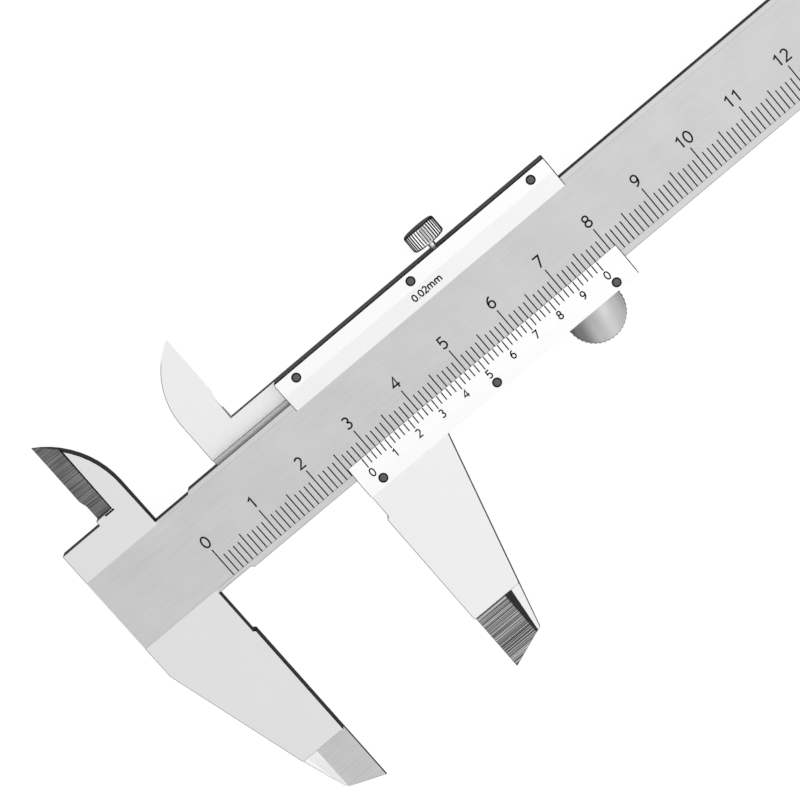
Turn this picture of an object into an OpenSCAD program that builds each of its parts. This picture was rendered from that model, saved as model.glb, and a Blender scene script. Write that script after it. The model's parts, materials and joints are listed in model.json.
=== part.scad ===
// Vernier caliper, 0 to 150 mm, with crossed inside jaws, a lock screw on top,
// a thumb roller below and a depth rod in the back of the beam.
//
// The instrument lies on its back with the scale up (+Z) and the beam along +X.
// The origin is on the fixed outside jaw's measuring face, halfway through its thickness.
// Inside each module X = 0 is the scale's zero line (or the vernier's zero line on the
// slider), Y = 0 is the beam's lower edge and Z = 0 is the beam's front face.

/* [Reading] */
// Opening of the jaws, as read on the scale
reading = 28; // [0:0.02:150]

/* [Beam] */
// Length of the graduated range
scale_len = 150; // [150:1:150]
// Width of the beam
beam_w = 16.5; // [16:0.1:17]
// Thickness of the beam and of both outside jaws
beam_t = 3; // [2.8:0.1:3.2]
// Distance from the measuring face to the scale's zero line
zero_offset = 3.35; // [3:0.05:4]
// Width of the fixed head, from the measuring face to its left end
head_w = 15.6; // [15:0.1:17]
// Height of the fixed head above the beam
head_rise = 4.85; // [4.5:0.05:5.5]

/* [Jaws] */
// Depth of the outside jaws below the beam
jaw_depth = 40.9; // [39:0.1:42]
// Length of the thinned jaw tips
tip_len = 11; // [9:0.5:12]
// Thickness left at the thinned jaw tips
tip_t = 0.8; // [0.6:0.1:1.2]
// Height of the fixed inside jaw above the beam's lower edge
inside_fixed_top = 37.7; // [36:0.1:38]
// Height of the moving inside jaw above the beam's lower edge
inside_moving_top = 36.9; // [35:0.1:37.5]

/* [Slider] */
// Length of the slider's rails and cover plates
slider_len = 56; // [54:1:58]
// Thickness of the slider's back plate, and of the moving inside jaw
back_t = 1.9; // [1.7:0.1:2.2]
// Height of the slider's upper rail above the beam
upper_rail = 4.15; // [3.8:0.05:4.5]
// Height of the slider's lower rail below the beam
lower_rail = 3.4; // [3.2:0.1:3.6]
// Thickness of the two cover plates
plate_t = 0.9; // [0.8:0.05:1]
// Sliding gap all round the beam
slide_gap = 0.05; // [0.03:0.01:0.08]

/* [Thumb roller] */
// Radius of the knurled roller
roller_r = 5.15; // [5:0.05:5.3]
// Thickness of the roller
roller_t = 1.9; // [1.7:0.1:1.9]
// Position of the roller along the slider, from the vernier's zero line
roller_x = 43.72; // [43:0.1:44]

/* [Lock screw] */
// Radius of the knurled head
lock_head_r = 2.98; // [2.8:0.02:3.2]
// Height of the knurled head
lock_head_h = 3.15; // [3:0.05:3.4]
// Position of the lock screw along the slider, from the vernier's zero line
lock_x = 30.82; // [29:0.1:32]

/* [Depth rod] */
// Width of the depth rod
rod_w = 3; // [2.8:0.1:3.1]
// Thickness of the depth rod
rod_t = 1.35; // [1.2:0.05:1.4]

/* [Hidden] */
$fn = 64;
eps = 0.01;
big = 300;

// Reference point on the fixed measuring face: distance below the beam and below its front
ref_drop = 20;
ref_depth = beam_t / 2;

// Fixed head and beam
face_x = -zero_offset;
head_x = face_x - head_w;
beam_end = scale_len + 60;
relief = 0.5;               // the head and jaw are set back from the measuring face by this
relief_drop = 8.1;          // the measuring faces start this far below the beam
edge_relief = 0.45;         // the beam is narrower by this beside the head
edge_relief_end = 3;        // where that narrowing ends
scale_lo = 1.15;            // lower and upper edge of the shallow scale band
scale_hi = beam_w - 0.95;
scale_depth = 0.06;
jaw_shoulder = 4.9;         // the fixed jaw starts to taper this far below the beam
tip_corner = 2.4;           // the tip's outer corner is this much higher than its point

// Inside jaws
knife_x = -11.48;           // knife edge, from the zero line
knife_land = 0.08;
knife_relief = 0.42;
blade_root = 22.2;          // the ground bevels start here
fixed_back_x = -3.92;       // straight back of the fixed inside jaw
fixed_arc_r = 15.5;
fixed_arc_y = 24.38;
blade_wall = -7.6;          // right side of the fixed blade's front bevel
blade_rise = 2.1;           // height of the bevel at that side
undercut = [[-9.3, 21.78], [-7.45, 22.1]];  // small groove below the bevel's right corner
undercut_depth = 0.5;
moving_back_x = -18.86;     // straight back of the moving inside jaw
moving_arc_r = 13.7;
moving_arc_y = 24.72;
moving_bevel = 28;          // angle of the moving blade's back bevel

// Slider
rail_x = -2.85;             // left end of the rails
rail_front = slide_gap;     // the rails and the moving jaw stand this far above the beam's face
chan_back = -beam_t - slide_gap;
slider_back = chan_back - back_t;
top_y = beam_w + upper_rail;
bottom_y = -lower_rail;
gib_room = 0.55;            // room between the beam and the upper rail
chan_top = beam_w + gib_room;
corner_relief = 0.5;        // groove in the back plate under the beam's upper edge

// Cover plates
plate_front = rail_front + plate_t;
upper_plate_y = 14.95;
upper_bevel_y = 18;
upper_edge_t = 0.08;
vernier_plate_y = 2.4;
vernier_bevel_y = -1.15;
vernier_edge_t = 0.1;
rivet_r = 0.8;
rivet_depth = 0.85;
rivet_x = [0.75, 24.6, 49.45];
upper_rivet_y = 19.25;
vernier_rivet_y = -2.15;
pin_gap = 0.02;             // radial gap round fixed pins and screws

// Gib strip and its pins
gib_t = 0.35;
gib_x = [-2, 52.3];
gib_z = [chan_back + 0.15, -0.1];
gib_pin_x = [3, 48];
gib_pin_z = (gib_z[0] + gib_z[1]) / 2;
gib_pin_r = 0.5;
gib_pin_depth = 1.5;        // length of a pin inside the upper rail

// Lock screw
lock_z = -1.95;
lock_shank_r = 0.95;
lock_hole_r = 1;
lock_tip_r = 0.7;
lock_head_y = 21.76;

// Thumb roller, on a spring arm let into the back of the slider
roller_y = -4;
roller_front = -1.05;
roller_back = roller_front - roller_t;
track_gap = 0.02;
track_y = roller_y + roller_r + track_gap;  // edge of the beam that the roller runs on
track_front = -1;                       // front of the rebate that holds that edge
track_x = 36;
pocket_r = roller_r + 0.2;
axle_r = 1;
axle_gap = 0.03;
bush_r = 1.9;
cap_t = 0.55;               // metal left in front of the bush
washer_r = 2.6;
washer_recess = 0.3;        // the washer sits this deep in the back plate
axle_head_r = 1.4;
axle_head_t = 0.35;
arm_t = 0.5;
arm_recess = 1;
arm_back = slider_back + arm_recess;
arm_pad = [[22, -1.6], [31, 3.2]];
arm_screw_x = [24.2, 28.6];
arm_screw_y = 0.8;
arm_screw_r = 0.6;
arm_screw_head_r = 1.2;
arm_w = 2.6;
arm_end_r = 2.4;

// Depth rod, its groove and its clamp
rod_y = 8.25;
groove_w = rod_w + 0.2;
groove_depth = 1.5;
groove_x = 40;              // the groove runs from here to the end of the beam
rod_back = -beam_t + 0.1;
rod_nick = 0.9;             // half the side of the nick that clears a corner fillet
rod_x = 46;                 // fixed end of the rod, from the vernier's zero line
clamp_x = [45.5, 52.2];
clamp_w = 5.2;
clamp_t = 1.45;
clamp_rivet_x = [47.5, 50.3];
clamp_rivet_r = 0.5;

// End stop at the free end of the beam's back
stop_x = [beam_end - 6.1, beam_end - 0.4];
stop_mid = (stop_x[0] + stop_x[1]) / 2;
stop_y = [2, 14.5];
stop_t = 1;
stop_screw_y = [4.2, 12.3];
stop_head_r = 1.3;
stop_head_t = 0.7;
stop_shank_r = 0.8;
stop_thread = 1.7;          // length of a screw inside the beam

steel = [0.80, 0.80, 0.79];
bright = [0.93, 0.93, 0.92];
dark = [0.28, 0.28, 0.28];
brass = [0.78, 0.62, 0.32];
chrome = [0.72, 0.73, 0.74];

// ---------- placing ----------
module on_beam() translate([zero_offset, ref_drop, ref_depth]) children();
module on_slider() on_beam() translate([reading, 0, 0]) children();

// A flat outline between two heights
module slab(z0, z1) translate([0, 0, z0]) linear_extrude(z1 - z0) children();

// A box between two corners
module block(a, b) translate(a) cube(b - a);

// A profile in Y and Z, carried along X
module along_x(x0, x1)
    translate([x0, 0, 0]) rotate([90, 0, 90]) linear_extrude(x1 - x0) children();

// A shaft or bore along Y
module along_y(x, y0, y1, z, r)
    translate([x, y0, z]) rotate([-90, 0, 0]) cylinder(r = r, h = y1 - y0);

// A shaft or bore along Z
module along_z(x, y, z0, z1, r) translate([x, y, z0]) cylinder(r = r, h = z1 - z0);

// ---------- jaws ----------
// Material ground away at a jaw tip. X runs from the measuring face into the jaw.
// It leaves a flat blade, a steep facet beside it and a shallow facet at the outer edge.
module tip_grinding() {
    flat_w = 6.1;
    steep = 43.5;
    facet_w = 1.6;
    edge_slope = 0.407;
    edge_fall = 0.07;
    floor_z = -beam_t + tip_t;
    edge_roll = -atan(edge_slope);
    top_y0 = -jaw_depth + tip_len;
    intersection() {
        block([-1, -jaw_depth - 1, floor_z], [20, top_y0, 2]);
        union() {
            block([-2, -jaw_depth - 2, floor_z - 1], [flat_w, top_y0 + 1, 3]);
            translate([flat_w, top_y0, floor_z]) rotate([0, -steep, 0])
                block([-10, -20, 0], [20, 1, 10]);
            translate([flat_w + facet_w, top_y0, floor_z + facet_w * tan(steep)])
                rotate([atan(edge_fall * cos(edge_roll)), edge_roll, 0])
                    block([-10, -20, 0], [20, 1, 10]);
        }
    }
}

// Outline of the fixed head, its outside jaw and the beam
module beam_outline() {
    polygon([
        [head_x, beam_w + head_rise], [fixed_back_x, beam_w + head_rise],
        [fixed_back_x, beam_w - edge_relief], [edge_relief_end, beam_w - edge_relief],
        [edge_relief_end + edge_relief, beam_w], [beam_end, beam_w], [beam_end, 0],
        [edge_relief_end + edge_relief, 0], [edge_relief_end, edge_relief],
        [face_x - relief, edge_relief], [face_x - relief, -relief_drop + 0.3],
        [face_x, -relief_drop], [face_x, -jaw_depth], [face_x - 5.9, -jaw_depth + tip_corner],
        [face_x - 6.4, -jaw_depth + tip_corner + 0.5], [head_x, -jaw_shoulder]]);
}

// Outline of an inside jaw: straight back, then an arc that meets the knife edge at the tip.
// back_dir is +1 when the back lies to the right of the knife edge.
module inside_outline(back_x, arc_r, arc_y, top, back_dir, root) {
    edge = knife_x + back_dir * knife_relief;
    intersection() {
        polygon([
            [back_x, root], [back_x, top + 1], [knife_x, top + 1], [knife_x, blade_root + 3.8],
            [edge, blade_root + 2.6], [edge, blade_root - 1.2], [edge, root]]);
        union() {
            translate([back_x - back_dir * arc_r, arc_y]) circle(r = arc_r, $fn = 128);
            translate([min(back_x, knife_x) - 1, root - 1])
                square([abs(back_x - knife_x) + 2, arc_y - root + 1]);
        }
    }
}

// ---------- fixed parts ----------
module beam() color(steel) on_beam() difference() {
    union() {
        slab(-beam_t, 0) beam_outline();
        slab(-beam_t, 0) inside_outline(fixed_back_x, fixed_arc_r, fixed_arc_y,
            inside_fixed_top, 1, beam_w + 1);
    }
    // shallow band that holds the scale
    block([head_x - 1, scale_lo, -scale_depth], [beam_end + 1, scale_hi, 1]);
    // front bevel of the inside blade, with a small wall at its right side
    intersection() {
        block([knife_x - 1, blade_root, -beam_t], [blade_wall, inside_fixed_top + 1, 1]);
        translate([knife_x, 0, -beam_t + knife_land])
            rotate([0, -atan(blade_rise / (blade_wall - knife_x)), 0])
                block([-3, 0, 0], [10, big, 10]);
    }
    block([undercut[0][0], undercut[0][1], -undercut_depth], [undercut[1][0], undercut[1][1], 1]);
    translate([face_x, 0, 0]) mirror([1, 0, 0]) tip_grinding();
    // groove for the depth rod
    block([groove_x, rod_y - groove_w / 2, -beam_t - 1],
        [beam_end + 1, rod_y + groove_w / 2, -beam_t + groove_depth]);
    // rebate that the thumb roller runs in
    block([track_x, -1, -beam_t - 1], [beam_end + 1, track_y, track_front]);
    for (y = stop_screw_y)
        along_z(stop_mid, y, -beam_t - 1, -beam_t + stop_thread + 0.1, stop_shank_r + pin_gap);
}

module end_stop_plate() color(steel) on_beam() difference() {
    block([stop_x[0], stop_y[0], -beam_t - stop_t], [stop_x[1], stop_y[1], -beam_t]);
    for (y = stop_screw_y)
        along_z(stop_mid, y, -beam_t - stop_t - 1, -beam_t + 1, stop_shank_r + pin_gap);
}

module end_stop_screws() color(dark) on_beam() for (y = stop_screw_y) difference() {
    head_z = -beam_t - stop_t - stop_head_t;
    slot_w = 0.4;
    union() {
        along_z(stop_mid, y, head_z, head_z + stop_head_t, stop_head_r);
        along_z(stop_mid, y, head_z + eps, -beam_t + stop_thread, stop_shank_r);
    }
    block([stop_mid - 2, y - slot_w / 2, head_z - 1],
        [stop_mid + 2, y + slot_w / 2, head_z + stop_head_t / 2]);
}

// ---------- slider ----------
// Outline of the moving outside jaw, below the rails
module moving_jaw_outline() {
    jaw_root_x = 13.3;
    polygon([
        [rail_x, 0], [rail_x, -relief_drop + 0.5], [face_x, -relief_drop],
        [face_x, -jaw_depth], [face_x + 6.35, -jaw_depth + tip_corner],
        [face_x + 7.25, -jaw_depth + tip_corner + 0.5], [jaw_root_x, bottom_y],
        [jaw_root_x, 0]]);
}

// Outline of the back plate, with the shoulder that carries the moving inside jaw
module back_outline() {
    rail_end = rail_x + slider_len;
    polygon([
        [rail_x, bottom_y], [rail_end, bottom_y], [rail_end, top_y],
        [knife_x - knife_relief, top_y], [moving_back_x, top_y], [moving_back_x, 9],
        [rail_x, 2]]);
}

// Outline of the roller's spring arm, also used for its recess
module arm_outline(grow) {
    arm_dx = roller_x - arm_screw_x[1];
    arm_dy = roller_y - arm_screw_y;
    translate(arm_pad[0] - [grow, grow]) square(arm_pad[1] - arm_pad[0] + [2 * grow, 2 * grow]);
    translate([arm_screw_x[1], arm_screw_y]) rotate(atan2(arm_dy, arm_dx))
        translate([0, -arm_w / 2 - grow])
            square([norm([arm_dx, arm_dy]), arm_w + 2 * grow]);
    translate([roller_x, roller_y]) circle(r = arm_end_r + grow);
}

module slider_frame() color(bright) on_slider() difference() {
    union() {
        block([rail_x, bottom_y, slider_back], [rail_x + slider_len, top_y, rail_front]);
        slab(slider_back, chan_back) back_outline();
        slab(slider_back, chan_back) inside_outline(moving_back_x, moving_arc_r, moving_arc_y,
            inside_moving_top, -1, top_y - 1);
        slab(-beam_t, rail_front) moving_jaw_outline();
    }
    // channel for the beam and the gib strip
    block([rail_x - 1, -slide_gap, chan_back], [rail_x + slider_len + 1, chan_top, 1]);
    block([moving_back_x - 1, beam_w - 0.05, chan_back - corner_relief],
        [rail_x + slider_len + 1, chan_top, 1]);
    // back bevel of the moving inside blade
    translate([knife_x, blade_root + 0.5, chan_back - knife_land]) rotate([0, -moving_bevel, 0])
        block([-10, 0, -10], [10, big, 0]);
    translate([face_x, 0, 0]) tip_grinding();
    // roller: pocket in the lower rail, notch for the axle, recess for the arm
    along_z(roller_x, roller_y, chan_back - eps, roller_front + 0.1, pocket_r);
    along_z(roller_x, roller_y, slider_back - 1, chan_back, axle_head_r + 0.1);
    along_z(roller_x, roller_y, chan_back - washer_recess, chan_back, washer_r + pin_gap);
    slab(slider_back - 1, arm_back) arm_outline(0.3);
    for (x = arm_screw_x)
        along_z(x, arm_screw_y, slider_back, chan_back - 0.15, arm_screw_r + pin_gap);
    // rivets of the two cover plates
    for (x = rivet_x, y = [upper_rivet_y, vernier_rivet_y])
        along_z(x, y, rail_front - rivet_depth - pin_gap, 1, rivet_r + pin_gap);
    // lock screw and gib pins
    along_y(lock_x, chan_top - 1, top_y + 1, lock_z, lock_hole_r);
    for (x = gib_pin_x)
        along_y(x, chan_top - 1, chan_top + gib_pin_depth + 0.1, gib_pin_z, gib_pin_r + pin_gap);
    // pocket for the depth rod's clamp
    block([clamp_x[0] - pin_gap, rod_y - clamp_w / 2 - pin_gap, slider_back - 1],
        [clamp_x[1] + pin_gap, rod_y + clamp_w / 2 + pin_gap, 0]);
}

// A cover plate with a bevelled inner edge and its rivet holes
module cover_plate(profile, y) color(bright) on_slider() difference() {
    along_x(rail_x, rail_x + slider_len) polygon(profile);
    for (x = rivet_x) along_z(x, y, -1, 2, rivet_r + pin_gap);
}

module upper_plate() cover_plate([
    [upper_plate_y, rail_front], [top_y, rail_front], [top_y, plate_front],
    [upper_bevel_y, plate_front], [upper_plate_y, rail_front + upper_edge_t]], upper_rivet_y);

module vernier_plate() cover_plate([
    [bottom_y, rail_front], [vernier_plate_y, rail_front],
    [vernier_plate_y, rail_front + vernier_edge_t], [vernier_bevel_y, plate_front],
    [bottom_y, plate_front]], vernier_rivet_y);

module plate_rivets(y) color(dark) on_slider() for (x = rivet_x)
    along_z(x, y, rail_front - rivet_depth, plate_front, rivet_r);

module upper_plate_rivets() plate_rivets(upper_rivet_y);

module vernier_plate_rivets() plate_rivets(vernier_rivet_y);

// Strip between the beam's upper edge and the upper rail; the lock screw presses it
module gib_strip() color(brass) on_slider() difference() {
    block([gib_x[0], beam_w + slide_gap, gib_z[0]],
        [gib_x[1], beam_w + slide_gap + gib_t, gib_z[1]]);
    for (x = gib_pin_x)
        along_y(x, beam_w - 1, chan_top + 1, gib_pin_z, gib_pin_r + 0.06);
}

module gib_pins() color(dark) on_slider() for (x = gib_pin_x)
    along_y(x, beam_w + slide_gap + 0.1, chan_top + gib_pin_depth, gib_pin_z, gib_pin_r);

// Knurled thumb screw, pointing down at the gib strip
module lock_screw() color(chrome) on_slider()
    translate([lock_x, 0, lock_z]) rotate([-90, 0, 0]) {
        tip_y = beam_w + slide_gap + gib_t + eps;
        edge = 0.3;
        rotate_extrude() polygon([
            [0, tip_y], [lock_tip_r, tip_y], [lock_tip_r, tip_y + 0.8],
            [lock_shank_r, tip_y + 1], [lock_shank_r, lock_head_y],
            [lock_head_r - edge, lock_head_y], [lock_head_r, lock_head_y + edge],
            [lock_head_r, lock_head_y + lock_head_h - edge],
            [lock_head_r - edge, lock_head_y + lock_head_h], [0, lock_head_y + lock_head_h]]);
    }

// ---------- thumb roller ----------
module thumb_roller() color(chrome) on_slider() difference() {
    along_z(roller_x, roller_y, roller_back, roller_front, roller_r);
    along_z(roller_x, roller_y, roller_back - 1, roller_front - cap_t, bush_r + pin_gap);
}

module roller_bush() color(brass) on_slider() difference() {
    along_z(roller_x, roller_y, roller_back, roller_front - cap_t - 0.05, bush_r);
    along_z(roller_x, roller_y, roller_back - 1, 0, axle_r + axle_gap);
}

// Thin washer between the roller and the slider's back plate
module roller_washer() color(steel) on_slider() difference() {
    along_z(roller_x, roller_y, chan_back - washer_recess, roller_back - 0.02, washer_r);
    along_z(roller_x, roller_y, slider_back, 0, axle_r + pin_gap);
}

// Pin that is riveted in the spring arm
module roller_axle() color(steel) on_slider() {
    head_top = arm_back - arm_t;
    along_z(roller_x, roller_y, head_top - axle_head_t, head_top, axle_head_r);
    along_z(roller_x, roller_y, head_top - eps, roller_front - cap_t - 0.15, axle_r);
}

module roller_arm() color(steel) on_slider() difference() {
    slab(arm_back - arm_t, arm_back) arm_outline(0);
    along_z(roller_x, roller_y, slider_back - 1, 0, axle_r + pin_gap);
    for (x = arm_screw_x)
        along_z(x, arm_screw_y, slider_back - 1, 0, arm_screw_r + pin_gap);
}

module roller_arm_screws() color(dark) on_slider() for (x = arm_screw_x) difference() {
    head_z = slider_back + 0.03;
    slot_w = 0.34;
    slot_depth = 0.25;
    union() {
        along_z(x, arm_screw_y, head_z, arm_back - arm_t, arm_screw_head_r);
        along_z(x, arm_screw_y, head_z + eps, chan_back - 0.2, arm_screw_r);
    }
    block([x - 2, arm_screw_y - slot_w / 2, head_z - 1],
        [x + 2, arm_screw_y + slot_w / 2, head_z + slot_depth]);
}

// ---------- depth rod ----------
module depth_rod() color(steel) on_slider() difference() {
    block([rod_x, rod_y - rod_w / 2, rod_back], [beam_end, rod_y + rod_w / 2, rod_back + rod_t]);
    // small nick in the tip that clears a corner fillet
    translate([beam_end, rod_y + rod_w / 2, 0]) rotate([0, 0, 45])
        block([-rod_nick, -rod_nick, -5], [rod_nick, rod_nick, 5]);
    for (x = clamp_rivet_x) along_z(x, rod_y, -5, 0, clamp_rivet_r + pin_gap);
}

module depth_rod_clamp() color(bright) on_slider() difference() {
    union() {
        block([clamp_x[0], rod_y - clamp_w / 2, chan_back - clamp_t],
            [clamp_x[1], rod_y + clamp_w / 2, chan_back]);
        block([rod_x, rod_y - rod_w / 2, chan_back - eps], [clamp_x[1], rod_y + rod_w / 2, rod_back]);
    }
    for (x = clamp_rivet_x) along_z(x, rod_y, -9, 0, clamp_rivet_r + pin_gap);
}

module depth_rod_rivets() color(dark) on_slider() for (x = clamp_rivet_x)
    along_z(x, rod_y, chan_back - clamp_t, rod_back + rod_t, clamp_rivet_r);

beam();
end_stop_plate();
end_stop_screws();
slider_frame();
upper_plate();
vernier_plate();
upper_plate_rivets();
vernier_plate_rivets();
gib_strip();
gib_pins();
lock_screw();
thumb_roller();
roller_bush();
roller_washer();
roller_axle();
roller_arm();
roller_arm_screws();
depth_rod();
depth_rod_clamp();
depth_rod_rivets();
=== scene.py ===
"""Vernier caliper: finishes, graduations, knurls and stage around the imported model.

Lengths in the settings are millimetres. Meshes are in metres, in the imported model's frame:
X along the beam, Y towards the inside jaws, Z out of the scale face.
"""

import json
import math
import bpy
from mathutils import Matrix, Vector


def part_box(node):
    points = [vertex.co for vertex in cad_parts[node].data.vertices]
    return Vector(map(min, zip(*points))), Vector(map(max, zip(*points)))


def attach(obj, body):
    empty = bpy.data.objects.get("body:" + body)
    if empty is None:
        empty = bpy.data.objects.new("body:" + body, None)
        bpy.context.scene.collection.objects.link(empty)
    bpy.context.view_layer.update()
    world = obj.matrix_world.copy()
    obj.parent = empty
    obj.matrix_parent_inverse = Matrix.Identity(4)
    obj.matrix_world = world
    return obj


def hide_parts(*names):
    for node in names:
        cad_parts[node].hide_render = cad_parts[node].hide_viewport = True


bl_info = {
    "name": "Vernier caliper",
    "version": (1, 0, 0),
    "blender": (4, 5, 0),
    "location": "View3D > Sidebar > Caliper",
    "description": "Builds the finishes, the scales and the knurled parts of a vernier caliper",
    "category": "Object",
}

import bmesh
import bpy
import numpy as np
from bpy.props import FloatProperty, FloatVectorProperty, IntProperty, PointerProperty
from mathutils import Euler

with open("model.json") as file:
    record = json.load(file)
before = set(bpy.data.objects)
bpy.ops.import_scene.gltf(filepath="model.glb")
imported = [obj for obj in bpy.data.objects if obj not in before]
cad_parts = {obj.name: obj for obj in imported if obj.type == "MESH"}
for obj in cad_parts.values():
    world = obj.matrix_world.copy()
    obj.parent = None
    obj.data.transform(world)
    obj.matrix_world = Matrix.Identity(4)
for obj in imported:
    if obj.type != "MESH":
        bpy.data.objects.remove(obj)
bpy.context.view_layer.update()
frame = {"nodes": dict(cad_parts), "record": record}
NODES = frame["nodes"]
MM = 0.001

# ---------- places taken from the frame, in millimetres ----------


def box_mm(node):
    """Lowest and highest corner of a CAD node, in millimetres."""
    low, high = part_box(node)
    return np.array(low) / MM, np.array(high) / MM


BEAM_LOW, BEAM_HIGH = box_mm("beam")
VERNIER_LOW, VERNIER_HIGH = box_mm("vernier_plate")
UPPER_LOW, UPPER_HIGH = box_mm("upper_plate")
JAW_FACE = next(m for m in frame["record"]["mounts"] if m["name"] == "moving_jaw_face")
JAW_OPENING = JAW_FACE["pos_m"][0] / MM
SLIDE_GAP = 0.05
BEAM_FACE = BEAM_HIGH[2]
BEAM_TOP = box_mm("gib_strip")[0][1] - SLIDE_GAP
FLOOR_Z = box_mm("slider_frame")[0][2]
TIP_TOP = BEAM_LOW[1] + 11.2
# Beyond this X the blade's bevel is painted black, as the shadow at its corner.
BLADE_CORNER = -4.65
HEAD_EDGE = -0.5

# ---------- fixed sizes, in millimetres where they are lengths ----------
SMOOTH_ANGLE = math.radians(30)
SQUARE_ANGLE = math.radians(50)
CURVE_STEP = math.radians(10.5)
SMALL_FACE, LARGE_FACE = 1.2 * MM ** 2, 8 * MM ** 2
SCREW_EDGE = 0.05
RIVET_STEPS = (0, 23.85, 48.7)
TICK_ENDS = (4.9, 5.75, 6.65)
DIGIT_FOOT = 7.15
BAND_MARGIN = 0.95
BAND_LINE = 0.1
VERNIER_TICK_ENDS = (0.85, 0.6)
UPRIGHT, LEVEL = 0.3, 0.99


# ---------- settings ----------
class ScaleSettings(bpy.types.PropertyGroup):
    """Sizes of the graduations and digits."""

    beam_width: FloatProperty(
        name="Beam width", description="Width of the beam", default=16.5, min=16, max=17)
    zero_offset: FloatProperty(
        name="Zero line", description="From the measuring face to the zero line", default=3.35)
    band_low: FloatProperty(
        name="Band start", description="Scale band's lower edge, above the beam's", default=1.15)
    band_depth: FloatProperty(
        name="Band depth", description="Depth of the band that holds the scale", default=0.06)
    line_width: FloatProperty(
        name="Line width", description="Width of an engraved line", default=0.205, min=0.08,
        max=0.3)
    fill_height: FloatProperty(
        name="Fill height", description="How far the black filling stands out", default=0.008)
    length: IntProperty(
        name="Scale length", description="Length of the graduated range", default=150)
    vernier_pitch: FloatProperty(
        name="Vernier division", description="Length of one vernier division", default=0.98)
    vernier_count: IntProperty(
        name="Vernier divisions", description="Number of vernier divisions", default=50)
    digit_height: FloatProperty(
        name="Digit height", description="Height of the beam's digits", default=2.2)
    vernier_digit_height: FloatProperty(
        name="Vernier digit height", description="Height of the vernier's digits", default=1.5)
    stroke: FloatProperty(
        name="Stroke", description="Width of a digit's strokes", default=0.29, min=0.1, max=0.3)


class KnurlSettings(bpy.types.PropertyGroup):
    """Sizes of the two knurled parts and of the softened edges."""

    roller_teeth: IntProperty(
        name="Roller teeth", description="Scallops round the thumb roller", default=42)
    roller_tooth: FloatProperty(
        name="Roller tooth depth", description="Depth of a scallop", default=0.14)
    screw_teeth: IntProperty(
        name="Screw teeth", description="Ridges round the lock screw's head", default=36)
    screw_tooth: FloatProperty(
        name="Screw tooth depth", description="Depth of a ridge", default=0.2)
    thread_pitch: FloatProperty(
        name="Thread pitch", description="Pitch of the lock screw's thread", default=0.5)
    edge_width: FloatProperty(
        name="Edge width", description="Width of a softened edge", default=0.11, min=0.02, max=0.2)


class StageSettings(bpy.types.PropertyGroup):
    """Camera, floor and light."""

    camera_place: FloatVectorProperty(
        name="Camera place", description="Where the camera stands", default=(88.48, 98.88, 497.7))
    camera_turn: FloatVectorProperty(
        name="Camera turn", description="Camera's turns about X, Y and Z, in degrees",
        default=(-11.09, -2.687, -40.064))
    lens: FloatProperty(name="Lens", description="Focal length on a 36 mm sensor", default=141.6)
    shift: FloatVectorProperty(
        name="Shift", description="Lens shift", size=2, default=(-0.09, 0.0876))
    floor_color: FloatVectorProperty(
        name="Floor", description="Colour of the floor", subtype="COLOR",
        default=(0.95, 0.95, 0.95))
    floor_mirrored: FloatProperty(
        name="Floor in the metal", description="Brightness of the floor in reflections",
        default=0.06, min=0, max=1)
    low_light: FloatProperty(
        name="Low light", description="Brightness of the light near the horizon", default=0.25,
        min=0, max=1)
    sky: FloatProperty(name="Sky", description="Strength of the soft light", default=1.1)


# ---------- meshes ----------
def mesh_piece(name, points, faces, materials, body, face_materials=None):
    """A mesh object from points in millimetres, riding on a body."""
    mesh = bpy.data.meshes.new(name)
    mesh.from_pydata((np.asarray(points, float) * MM).tolist(), [], [list(f) for f in faces])
    for material in materials:
        mesh.materials.append(material)
    if face_materials is not None:
        mesh.polygons.foreach_set("material_index", np.asarray(face_materials, np.int32))
    mesh.shade_smooth()
    mesh.set_sharp_from_angle(angle=SMOOTH_ANGLE)
    mesh.update()
    piece = bpy.data.objects.new(name, mesh)
    bpy.context.scene.collection.objects.link(piece)
    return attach(piece, body)


def ring_grid(rows, columns):
    """Quads of a grid that closes on itself along its columns."""
    row, column = np.meshgrid(np.arange(rows - 1), np.arange(columns), indexing="ij")
    here = row * columns + column
    beside = row * columns + (column + 1) % columns
    return np.stack([here, beside, beside + columns, here + columns], -1).reshape(-1, 4)


def turned(profile, columns, shape=None):
    """A turned solid about +Z. The profile gives height and radius, row by row.

    Point(row, a) = (r cos a, r sin a, h), where shape(a, row) is taken off the radius. The first
    and last rows are on the axis, so each is one shared point.
    """
    height, radius = np.array(profile, float).T
    angle = np.arange(columns) / columns * math.tau
    r = np.repeat(radius[:, None], columns, 1)
    if shape is not None:
        r = r - shape(angle[None, :], height[:, None])
    h = np.repeat(height[:, None], columns, 1)
    grid = np.stack([r * np.cos(angle), r * np.sin(angle), h], -1).reshape(-1, 3)
    faces = ring_grid(len(profile), columns)
    inner = grid[columns:-columns]
    first, last = [0, 0, height[0]], [0, 0, height[-1]]
    points = np.vstack([inner, first, last])
    count = len(inner)
    faces = faces[columns:-columns] - columns
    around = np.arange(columns)
    after = (around + 1) % columns
    low_cap = np.stack([np.full(columns, count), after, around], -1)
    top = count - columns
    high_cap = np.stack([np.full(columns, count + 1), top + around, top + after], -1)
    return points, [*faces.tolist(), *low_cap.tolist(), *high_cap.tolist()]


def row_materials(choices, columns):
    """Material numbers for a turned solid's faces, from one number for each band of faces."""
    return np.concatenate([np.repeat(choices[1:-1], columns),
                           np.repeat(choices[0], columns), np.repeat(choices[-1], columns)])


def put_together(parts):
    """Several (points, faces) as one."""
    points, faces, start = [], [], 0
    for part_points, part_faces in parts:
        points.append(part_points)
        faces += [[start + i for i in face] for face in part_faces]
        start += len(part_points)
    return np.vstack(points), faces


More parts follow.
